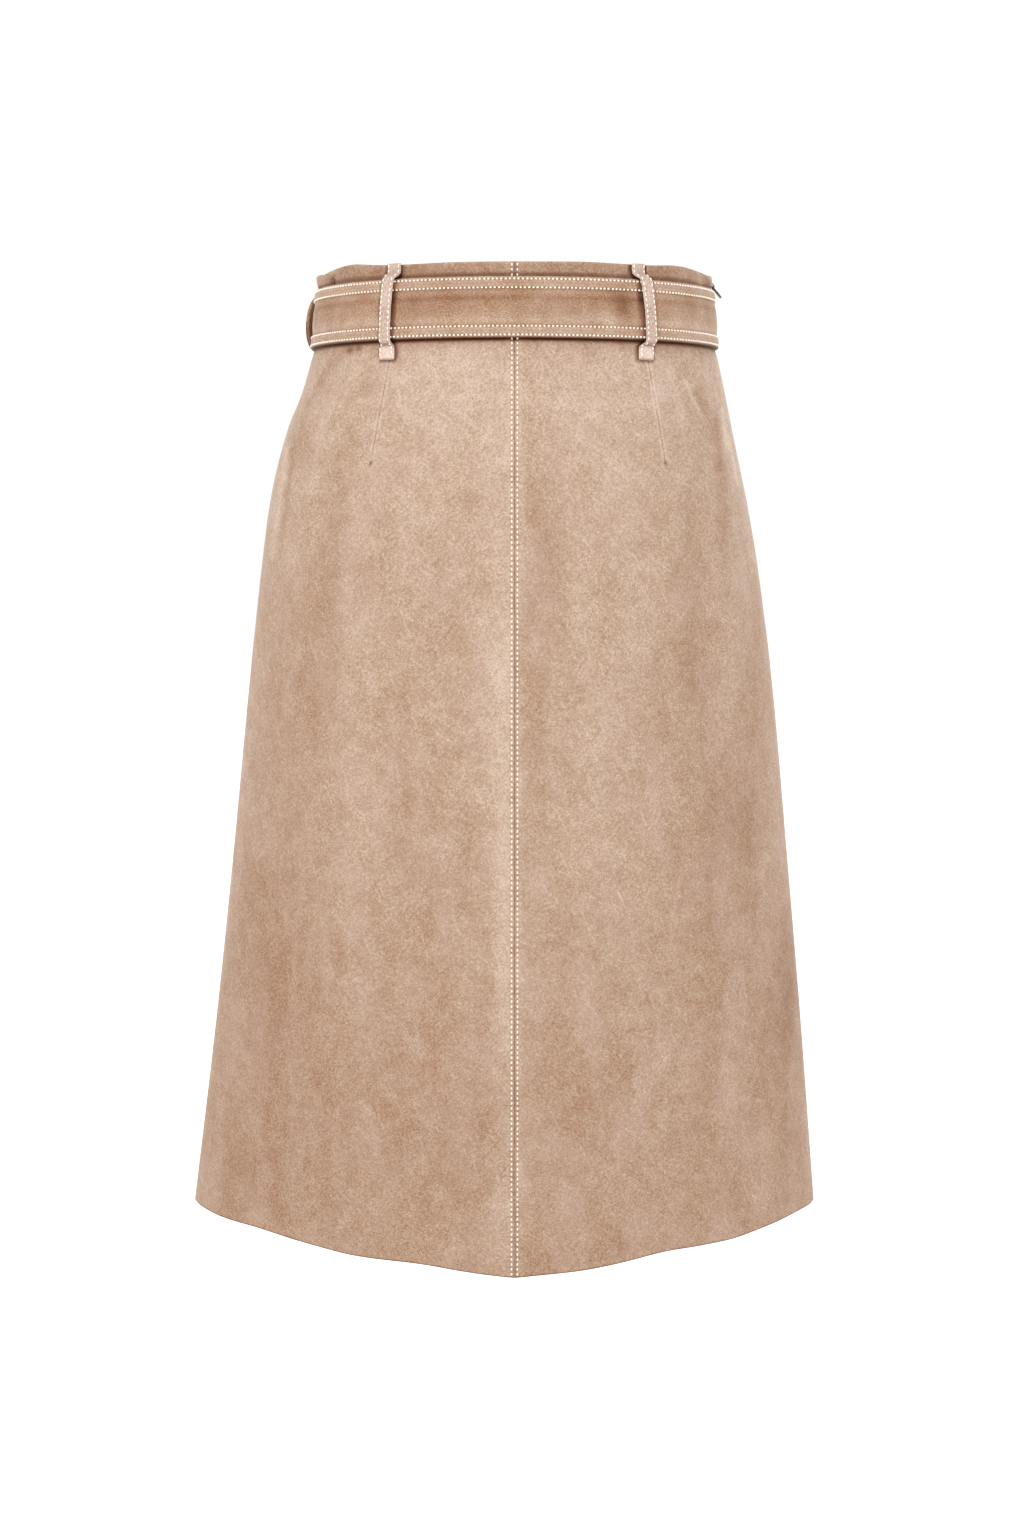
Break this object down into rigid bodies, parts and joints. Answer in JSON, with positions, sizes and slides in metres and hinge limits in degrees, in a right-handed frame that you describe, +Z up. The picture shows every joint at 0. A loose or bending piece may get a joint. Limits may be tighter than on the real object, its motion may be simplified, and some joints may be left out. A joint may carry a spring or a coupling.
{
  "type": "a-line skirt",
  "caption": "A-line midi skirt in suede with a wide stitched belt in loops, a plain slide buckle and a side zip, in its worn, hollow form.",
  "frame": {"origin": "middle of the waist opening at the height of the skirt's top edge, where the wearer's waist holds it", "axes": "+Z up, -Y the wearer's front, +X the wearer's left"},
  "size_m": [0.4493, 0.2853, 0.6673],
  "materials": {
    "suede": "brushed suede, warm beige, matt, with a soft uneven nap",
    "belt_suede": "brushed suede, warm beige, stitched along both edges",
    "loop_suede": "paler, pinker suede",
    "thread": "cream topstitching thread",
    "tape": "woven zip tape, brown",
    "dark_metal": "dark antique metal, satin"
  },
  "bodies": {
    "skirt": {"back_left": "suede", "back_right": "suede", "front": "suede", "belt": "belt_suede", "buckle": "dark_metal", "back_loop_left": "loop_suede", "back_loop_right": "loop_suede", "front_loop_left": "loop_suede", "front_loop_right": "loop_suede", "zip_tape": "tape", "zip_slider": "dark_metal"},
    "pull_tab": {"zip_pull": "dark_metal"}
  },
  "joints": [
    {"name": "pull_tab_hinge", "type": "hinge", "parent": "skirt", "child": "pull_tab", "pos_m": [-0.13725, 0, -0.0057], "axis": [0, 1, 0], "range_deg": [0, 120]}
  ]
}
